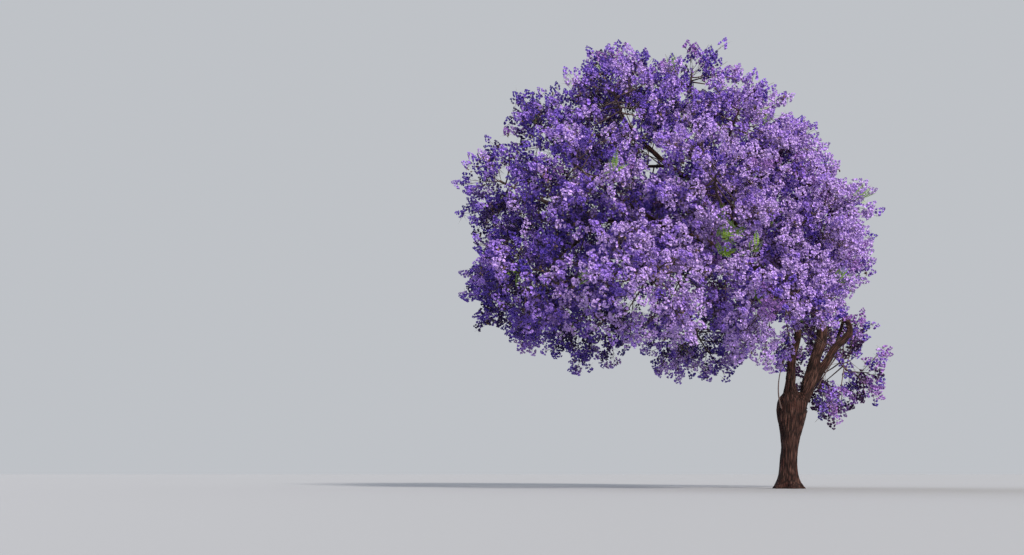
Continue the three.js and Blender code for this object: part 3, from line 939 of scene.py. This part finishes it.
starts, ends, aims, owners = [], [], [], []
for number, spray in enumerate(sprays):
    spots = (0.5 + number * SPOT_SHIFTS + np.arange(1, SPOTS + 1)[:, None] * SPOT_STEPS) % 1
    along, aside = spots[:, 0], 2 * spots[:, 1] - 1
    half = np.where(along < SPRAY_BELLY, along / SPRAY_BELLY, (1 - along) / (1 - SPRAY_BELLY))
    keep = (np.abs(aside) <= half) & (along > SPRAY_BARE)
    long, wide = SPRAY_LENGTH * spray.scale, SPRAY_WIDTH * spray.scale * PANICLE_SPREAD / 2
    for u, v in zip(along[keep], aside[keep]):
        w = FAN_BILLOW * (random.random() - FAN_SINK)
        aim = (spray.direction * FACE_ALONG + spray.wide * FACE_ASIDE * v + spray.twig.outward * FACE_OUT
               + spray.face * FACE_BILLOW * w + Vector((0, 0, FACE_UP))
               + Vector(random.normal(0, FACE_SCATTER, 3)))
        ends.append(spray.at + spray.direction * long * u + spray.wide * wide * v + spray.face * w)
        starts.append(bezier(*spray.bend, max(STALK_LEAST, u - STALK_SLANT * abs(v) - STALK_BACK)))
        aims.append(aim.normalized())
        owners.append(number)
starts, ends, aims, owners = np.array(starts), np.array(ends), np.array(aims), np.array(owners)

crown_half = (CROWN_HALF_WIDTH, CROWN_HALF_DEPTH, CROWN_HALF_HEIGHT)
depth = np.linalg.norm((ends - CROWN_MIDDLE - (0, 0, CROWN_RAISED)) / crown_half, axis=1)
apart = np.interp(depth, GAP_DEPTHS, (PANICLE_GAP_WITHIN, PANICLE_GAP))
apart *= np.where(random.random(len(ends)) < CLOSE_SHARE, CLOSE_GAP, 1)
reaches = ends + PANICLE_REACH * aims
inside = np.concatenate([own_space(reaches[owners == number], spray.mass) if spray.mass
                         else in_crown(reaches[owners == number]) for number, spray in enumerate(sprays)])
opening = np.array([noise.noise(Vector(place) / OPENING_SIZE) for place in ends])
up_and_left = ends[:, 2] - OPENING_LEFT * (ends[:, 0] - CROWN_MIDDLE.x)
inside &= opening > np.interp(up_and_left, OPENING_RISE, OPENING_SHARE)
across_stems = ends[:, 0] - STEMS_SHOW_SLANT[0] * ends[:, 1]
rise = ends[:, 2] - STEMS_SHOW_SLANT[1] * ends[:, 1] + opening
inside &= ~((rise < STEMS_SHOW_BELOW) & (ends[:, 1] < STEMS_SHOW_BACK)
            & (across_stems > STEMS_SHOW_BETWEEN[0]) & (across_stems < STEMS_SHOW_BETWEEN[1]))

# They are taken in a random order, and each stays only where none that stays is too near.
cells = {}
chosen = []
for i in random.permutation(len(ends)):
    cell = tuple((ends[i] / PANICLE_GAP_WITHIN).astype(int))
    near = [j for x in (-1, 0, 1) for y in (-1, 0, 1) for z in (-1, 0, 1)
            for j in cells.get((cell[0] + x, cell[1] + y, cell[2] + z), [])]
    if inside[i] and (not near or ((ends[near] - ends[i]) ** 2).sum(1).min() > apart[i] ** 2):
        cells.setdefault(cell, []).append(i)
        chosen.append(i)
starts, ends, aims, owners = starts[chosen], ends[chosen], aims[chosen], owners[chosen]
across_stems, rise = across_stems[chosen], rise[chosen]

# Panicle stalks, and beside them the bare spurs of last year's flowers: thin woody spikes. They are
# three-sided and taper to nothing.
STALK_RADIUS = 0.007
STALK_RUN_ON = 0.12
SPURS = 3
SPUR_LENGTHS = (0.14, 0.36)
SPUR_UP = 0.3
SPUR_BACK = 0.6


def joined(name, corners, faces):
    """A mesh from an array of corners and an array of three-cornered faces."""
    mesh = bpy.data.meshes.new(name)
    mesh.vertices.add(len(corners))
    mesh.vertices.foreach_set("co", np.ascontiguousarray(corners, dtype=np.float32).ravel())
    mesh.loops.add(faces.size)
    mesh.loops.foreach_set("vertex_index", np.ascontiguousarray(faces, dtype=np.int32).ravel())
    mesh.polygons.add(len(faces))
    mesh.polygons.foreach_set("loop_start", np.arange(0, faces.size, 3, dtype=np.int32))
    mesh.update(calc_edges=True)
    return mesh


def frames_along(directions):
    """For each direction, a turn that carries Z onto it, rolled at random, as columns of a matrix."""
    spin = random.random((len(directions), 3)) - 0.5
    side = np.cross(directions, spin)
    side /= np.linalg.norm(side, axis=1)[:, None]
    return np.stack((side, np.cross(directions, side), directions), axis=2)


def scattered(shape_corners, shape_faces, places, turns, sizes):
    """Copies of one small mesh, each turned, scaled and set in its place, as two arrays."""
    corners = np.einsum("nij,kj->nki", turns, shape_corners) * sizes[:, None, None] + places[:, None, :]
    faces = shape_faces[None] + (np.arange(len(places)) * len(shape_corners))[:, None, None]
    return corners.reshape(-1, 3), faces.reshape(-1, 3)


def arrays_of(shape):
    """The corners and three-cornered faces of a bmesh, which is freed."""
    bmesh.ops.triangulate(shape, faces=shape.faces[:])
    shape.verts.ensure_lookup_table()
    corners = np.array([vert.co[:] for vert in shape.verts])
    faces = np.array([[vert.index for vert in face.verts] for face in shape.faces])
    shape.free()
    return corners, faces


shape = bmesh.new()
bmesh.ops.create_cone(shape, cap_ends=False, segments=3, radius1=1, radius2=0, depth=1,
                      matrix=Matrix.Translation((0, 0, 0.5)))
bmesh.ops.remove_doubles(shape, verts=shape.verts, dist=1e-4)
spike_corners, spike_faces = arrays_of(shape)
spur_roots = np.repeat(ends, SPURS, axis=0)
spur_ways = (random.normal(0, 1, (len(spur_roots), 3)) + (0, 0, SPUR_UP)
             - SPUR_BACK * np.repeat(aims, SPURS, axis=0))
spur_ways /= np.linalg.norm(spur_ways, axis=1)[:, None]
spur_runs = spur_ways * random.uniform(*SPUR_LENGTHS, (len(spur_ways), 1))
runs = np.concatenate((ends + STALK_RUN_ON * aims - starts, spur_runs))
lengths = np.linalg.norm(runs, axis=1)
thick = np.full(len(runs), STALK_RADIUS)
stretched = frames_along(runs / lengths[:, None]) * np.stack((thick, thick, lengths), axis=1)[:, None, :]
roots = np.concatenate((starts, spur_roots))
stalk_mesh = joined("stalks", *scattered(spike_corners, spike_faces, roots, stretched, np.ones(len(runs))))

# Young jacaranda wood: smooth matt bark, brown and grey in soft blotches of about 7 cm.
TWIG_BLOTCHES_PER_METRE = 14
TWIG_BROWN = "#38282A"
TWIG_GREY = "#6B5750"


def blotched(name, per_metre, detail, first, second, roughness):
    """A dull material that goes softly between two colours, so many times to the metre."""
    material, tree, shader = new_material(name)
    place = add(tree, "ShaderNodeTexCoord")
    blotches = add(tree, "ShaderNodeTexNoise", {
        "Vector": place.outputs["Object"], "Scale": per_metre, "Detail": detail})
    toned = add(tree, "ShaderNodeMix", {0: blotches.outputs["Fac"], 6: linear(first), 7: linear(second)},
                data_type="RGBA")
    tree.links.new(toned.outputs[2], shader.inputs["Base Color"])
    shader.inputs["Roughness"].default_value = roughness
    return material


twig_bark = blotched("young_smooth_bark", TWIG_BLOTCHES_PER_METRE, 4, TWIG_BROWN, TWIG_GREY, 0.8)
shape = bmesh.new()
shape.from_mesh(twig_mesh)
shape.from_mesh(stalk_mesh)
bmesh.ops.triangulate(shape, faces=shape.faces[:])
twigs_piece = show("twigs", mesh_from(shape, "twigs"), twig_bark, smooth=True)
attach(twigs_piece, "root")

# Blossom: each panicle is a loose cone of trumpet flowers round a stalk, open and wide at its foot
# and in bud at its tip. Five forms are copied, turned and sized over the crown.
FLOWERS = 13
FLOWER_LENGTH = 0.062
FLOWER_MOUTH = 0.096
FLOWER_DROOP = 1.75
DROOP_LOST = 1.5
FLOWER_SIZE = 1.1
SIZE_LOST = 0.55
PANICLE_LENGTH = 0.21
PANICLE_WIDTH = 0.13
PANICLE_TAPER = 0.42
FORMS = 5


def panicle(seed):
    """One panicle as corners and faces: flowers round an axis that runs up Z."""
    draw = np.random.default_rng(seed)
    shape = bmesh.new()
    for i in range(FLOWERS):
        share = i / (FLOWERS - 1)
        turn = i * GOLDEN_TURN + draw.uniform(-0.4, 0.4)
        droop = FLOWER_DROOP - DROOP_LOST * share + draw.uniform(-0.3, 0.3)
        size = FLOWER_SIZE - SIZE_LOST * share + draw.uniform(-0.1, 0.1)
        out = PANICLE_WIDTH * (0.5 - PANICLE_TAPER * share)
        way = Vector((math.sin(droop) * math.cos(turn), math.sin(droop) * math.sin(turn), math.cos(droop)))
        foot = Vector((out * math.cos(turn), out * math.sin(turn), PANICLE_LENGTH * share))
        turned = way.to_track_quat("Z", "Y").to_matrix().to_4x4()
        place = Matrix.Translation(foot + way * FLOWER_LENGTH * size / 2) @ turned
        bmesh.ops.create_cone(shape, cap_ends=False, segments=5, radius1=0, radius2=FLOWER_MOUTH * size / 2,
                              depth=FLOWER_LENGTH * size, matrix=place)
    bmesh.ops.remove_doubles(shape, verts=shape.verts, dist=1e-4)
    return arrays_of(shape)


forms = [panicle(seed) for seed in range(FORMS)]

# Petals: thin, soft and slightly velvety. The first five tints run from light to dark, and the other
# two are redder. A spray's tint goes by its place in the crown: pale lilac on the side towards the
# light and deep violet away from it, as painted light and shade. Clumps of its panicles are lighter
# or darker. The low wing is darker, as painted shade, and a little redder; the crown's top is a
# little redder and darker.
TINTS = {"pale_lilac": "#D2B4F6", "lilac": "#AE8CE8", "violet": "#8062CC", "deep_violet": "#5A43AC",
         "shaded_violet": "#402E6C", "mauve": "#AC80D0", "shaded_plum": "#4A2E5C"}
DEEP_VIOLET, SHADED_VIOLET, MAUVE, SHADED_PLUM = 3, 4, 5, 6
# Painted light: sprays that face this way take the lightest tints, and those that face away the darkest.
PAINTED_LIGHT_WAY = Vector((0.76, -0.6, -0.26)).normalized()
LIGHT_MIDDLE = 0.64
LIGHT_BY_WAY = 0.36
LIGHT_BEHIND = -0.45
LIGHT_SCATTER = 0.14
LIGHT_LIMITS = (0.1, 0.95)
WING_SHADE = 0.46
TOP_SHADE = 0.14
TOP_SHADE_HEIGHTS = (9.5, 13)
PLUM_WAY = 0.35
PLUM_SHARE = 0.4
MAUVE_LEAST = 0.04
MAUVE_AT_TOP = 0.45
MAUVE_HEIGHTS = (10.5, 13.5)
MAUVE_IN_WING = 0.7
MAUVE_SHARE = 0.6

tint_of = np.zeros(len(sprays))
mauve_of = np.zeros(len(sprays), bool)
plum_of = np.zeros(len(sprays), bool)
for number, spray in enumerate(sprays):
    way = (spray.at + spray.direction * SPRAY_LENGTH / 2 - CROWN_MIDDLE).normalized()
    hung_low = spray.mass is not None and spray.mass.tier == "wing"
    # Painted light and shade: the more a spray faces the light's way, the lighter its tint.
    light = (LIGHT_MIDDLE + LIGHT_BY_WAY * max(way.dot(PAINTED_LIGHT_WAY), LIGHT_BEHIND)
             + random.normal(0, LIGHT_SCATTER))
    # Painted shade: the low wing takes darker tints, as the crown above shades it. The top is darker too.
    light -= WING_SHADE * hung_low + TOP_SHADE * smoothstep(spray.at.z, *TOP_SHADE_HEIGHTS)
    tint_of[number] = np.interp(light, LIGHT_LIMITS, (SHADED_VIOLET, 0))
    plum_of[number] = way.dot(PAINTED_LIGHT_WAY) > PLUM_WAY or hung_low
    mauve_likely = MAUVE_LEAST + MAUVE_AT_TOP * smoothstep(spray.at.z, *MAUVE_HEIGHTS)
    mauve_of[number] = random.random() < mauve_likely + MAUVE_IN_WING * hung_low

# Panicles with others in front of them, towards the light, take darker tints, as painted shade,
# and so do those in front of the stems' tops.
LIGHT_PULL = 0.6
SHADE_AHEAD = 0.6
SHADE_ROUND = 0.5
SHADE_PERCENTILES = (25, 90)
SHADE_TINTS = (-0.7, 1.8)
STEMS_SHADE_BETWEEN = (0.1, 2.9)
STEMS_SHADE_RISE = (5, 7)
STEMS_SHADE_TINTS = (1.5, 0)

crowd = KDTree(len(ends))
for i, place in enumerate(ends):
    crowd.insert(place, i)
crowd.balance()
middle = np.array(CROWN_MIDDLE)
outwards = ends - middle
outwards /= np.linalg.norm(outwards, axis=1)[:, None]
outwards += LIGHT_PULL * np.array(PAINTED_LIGHT_WAY)
in_front = np.array([len(crowd.find_range(place + SHADE_AHEAD * way, SHADE_ROUND))
                     for place, way in zip(ends, outwards)])
# Painted shade: the more panicles stand in front of one, the darker its tint.
shaded = np.interp(in_front, np.percentile(in_front, SHADE_PERCENTILES), SHADE_TINTS)
over_stems = ((across_stems > STEMS_SHADE_BETWEEN[0]) & (across_stems < STEMS_SHADE_BETWEEN[1])
              & (ends[:, 1] < STEMS_SHOW_BACK))
# Painted shade in front of the stems' tops.
shaded += over_stems * np.interp(rise, STEMS_SHADE_RISE, STEMS_SHADE_TINTS)

# The panicles in their tints, one piece for each, and together in place of the solid masses. The
# change of tone within a real flower is too fine to show, so it is drawn in patches of 20 cm.
CLUMP_SIZE = 0.4
CLUMP_TINTS = 3.2
TINT_SCATTER = 0.25
PANICLE_SIZES = (0.85, 1.2)
PETAL_PATCH = 0.2
PETAL_SHADE = 0.62

panicle_turns = frames_along(aims)
panicle_sizes = random.uniform(*PANICLE_SIZES, len(ends))
panicle_forms = random.integers(0, FORMS, len(ends))
clumps = np.array([noise.noise(Vector(place) / CLUMP_SIZE) for place in ends])
panicle_tints = tint_of[owners] + shaded + CLUMP_TINTS * clumps + random.normal(0, TINT_SCATTER, len(ends))
panicle_tints = np.clip(np.round(panicle_tints), 0, SHADED_VIOLET).astype(int)
pale = panicle_tints < DEEP_VIOLET
panicle_tints[mauve_of[owners] & pale & (random.random(len(ends)) < MAUVE_SHARE)] = MAUVE
deep = (panicle_tints == DEEP_VIOLET) & (random.random(len(ends)) < PLUM_SHARE)
panicle_tints[plum_of[owners] & (deep | (panicle_tints == SHADED_VIOLET))] = SHADED_PLUM
for tint, (name, colour) in enumerate(TINTS.items()):
    corner_parts, face_parts, count = [], [], 0
    for form, (form_corners, form_faces) in enumerate(forms):
        chosen = (panicle_tints == tint) & (panicle_forms == form)
        corners, faces = scattered(form_corners, form_faces, ends[chosen], panicle_turns[chosen],
                                   panicle_sizes[chosen])
        corner_parts.append(corners)
        face_parts.append(faces + count)
        count += len(corners)
    petal, tree, shader = new_material(f"{name}_petal")
    place = add(tree, "ShaderNodeTexCoord")
    shading = add(tree, "ShaderNodeTexNoise", {
        "Vector": place.outputs["Object"], "Scale": 1 / PETAL_PATCH, "Detail": 3})
    share = add(tree, "ShaderNodeMapRange", {
        "Value": shading.outputs["Fac"], "From Min": 0.36, "From Max": 0.62})
    base = linear(colour)
    darker = [c * PETAL_SHADE for c in base[:3]] + [1]
    mixed = add(tree, "ShaderNodeMix", {0: share.outputs[0], 6: darker, 7: base}, data_type="RGBA")
    tree.links.new(mixed.outputs[2], shader.inputs["Base Color"])
    shader.inputs["Roughness"].default_value = 0.6
    shader.inputs["Specular IOR Level"].default_value = 0.15
    shader.inputs["Sheen Weight"].default_value = 0.08
    mesh = joined(name, np.concatenate(corner_parts), np.concatenate(face_parts))
    piece = show(f"blossom_{name}", mesh, petal)
    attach(piece, "root")
    if name == "lilac":
        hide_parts(*[f"blossom_{mass.name}" for mass in masses])

# Seed pods: last year's flat round pods, in small bunches just below the flowers, more of them
# towards the top and the left. They are dry, hard and woody, brown with paler blotches.
BUNCHES = 900
PODS_IN_BUNCH = 3
PODS_BY_X = ((-9.5, -4, 2), (1, 0.5, 0.4))
PODS_BY_HEIGHT = ((4, 9), (0.4, 1))
POD_WIDTH = 0.075
POD_THICKNESS = 0.24
POD_HEIGHT = 0.86
POD_SIZES = (0.8, 1.2)
POD_HANG = (0.03, 0.12)
POD_SCATTER = 0.05
POD_TILT = 0.35
POD_BLOTCHES_PER_METRE = 30
POD_BROWN = "#44302A"
POD_PALE = "#75604C"

shape = bmesh.new()
bmesh.ops.create_icosphere(shape, subdivisions=1, radius=0.5)
bmesh.ops.scale(shape, verts=shape.verts,
                vec=(POD_WIDTH, POD_WIDTH * POD_THICKNESS, POD_WIDTH * POD_HEIGHT))
pod_corners, pod_faces = arrays_of(shape)
likely = np.interp(ends[:, 0], *PODS_BY_X) * np.interp(ends[:, 2], *PODS_BY_HEIGHT)
bunches = random.choice(len(ends), BUNCHES, replace=False, p=likely / likely.sum())
bunches = np.repeat(bunches, PODS_IN_BUNCH)
pod_places = ends[bunches] + random.normal(0, POD_SCATTER, (len(bunches), 3))
pod_places[:, 2] -= random.uniform(*POD_HANG, len(bunches))
pod_turns = frames_along(random.normal(0, POD_TILT, (len(bunches), 3)) + (0, 0, 1))
pod_sizes = random.uniform(*POD_SIZES, len(bunches))
corners, faces = scattered(pod_corners, pod_faces, pod_places, pod_turns, pod_sizes)

pod_husk = blotched("dry_woody_pod_husk", POD_BLOTCHES_PER_METRE, 3, POD_BROWN, POD_PALE, 0.7)
pods = show("seed_pods", joined("seed_pods", corners, faces), pod_husk, smooth=True)
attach(pods, "root")

# Young leaves: a jacaranda flowers almost bare, and its first fern-like leaves open in a few tufts,
# one of them large and bright. Each leaf bends along its midrib, with a pair of slim leaflets at
# every step and one at its tip. They are thin and soft, green going to yellow from tuft to tuft.
LEAF_LENGTH = 0.36
LEAF_PAIRS = 8
LEAF_BEND = 0.25
LEAF_SIZES = (0.7, 1.15)
LEAFLET_LENGTH = 0.1
LEAFLET_WIDTH = 0.034
LEAFLET_LEAN = 58
LEAFLET_CUP = 0.3
END_LEAFLET = 1.08
TUFTS = 46
LEAVES_IN_TUFT = 6
TUFT_SCATTER = 0.05
TUFT_SPREAD = 0.7
TUFT_OUT = 6
TUFT_UP = 0.4
OPEN_SHARE = 4
BRIGHT_TUFT = (-2.48, -4.5, 6.57)
BRIGHT_TUFTS = 9
BRIGHT_SPREAD = 0.28
LEAF_BLOTCHES_PER_METRE = 3
LEAF_GREEN = "#5E8C22"
LEAF_YELLOW = "#94B23C"

shape = bmesh.new()
for i in range(2 * LEAF_PAIRS + 1):
    at_end = i == 2 * LEAF_PAIRS
    share = END_LEAFLET if at_end else (i // 2 + 1) / LEAF_PAIRS
    side = 0 if at_end else (-1, 1)[i % 2]
    size = math.sin(math.pi * (0.25 + 0.6 * min(share, 1)))
    root = Vector((0, -LEAF_BEND * LEAF_LENGTH * share ** 2, LEAF_LENGTH * share))
    lean = (Quaternion((0, 1, 0), side * math.radians(LEAFLET_LEAN))
            @ Quaternion((1, 0, 0), LEAFLET_CUP * abs(side)))
    place = (Matrix.Translation(root) @ lean.to_matrix().to_4x4()
             @ Matrix.Diagonal((LEAFLET_WIDTH * size / 2, 1, LEAFLET_LENGTH * size / 2, 1))
             @ Matrix.Translation((0, 0, 1)) @ Matrix.Rotation(math.pi / 2, 4, "X"))
    bmesh.ops.create_circle(shape, cap_ends=True, segments=4, radius=1, matrix=place)
leaf_corners, leaf_faces = arrays_of(shape)
shade = OPEN_SHARE + in_front
leafy = random.choice(len(ends), TUFTS, replace=False, p=shade / shade.sum())
bright = np.array(BRIGHT_TUFT) + random.normal(0, BRIGHT_SPREAD, (BRIGHT_TUFTS, 3))
tufts = np.repeat(np.concatenate((ends[leafy], bright)), LEAVES_IN_TUFT, axis=0)
leaf_places = tufts + random.normal(0, TUFT_SCATTER, tufts.shape)
leaf_ways = (random.normal(0, TUFT_SPREAD, tufts.shape) + (leaf_places - middle) / TUFT_OUT
             + (0, 0, TUFT_UP))
leaf_turns = frames_along(leaf_ways / np.linalg.norm(leaf_ways, axis=1)[:, None])
leaf_sizes = random.uniform(*LEAF_SIZES, len(tufts))
corners, faces = scattered(leaf_corners, leaf_faces, leaf_places, leaf_turns, leaf_sizes)

young_leaf = blotched("young_fern_leaf", LEAF_BLOTCHES_PER_METRE, 2, LEAF_GREEN, LEAF_YELLOW, 0.5)
leaves = show("young_leaves", joined("young_leaves", corners, faces), young_leaf)
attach(leaves, "root")
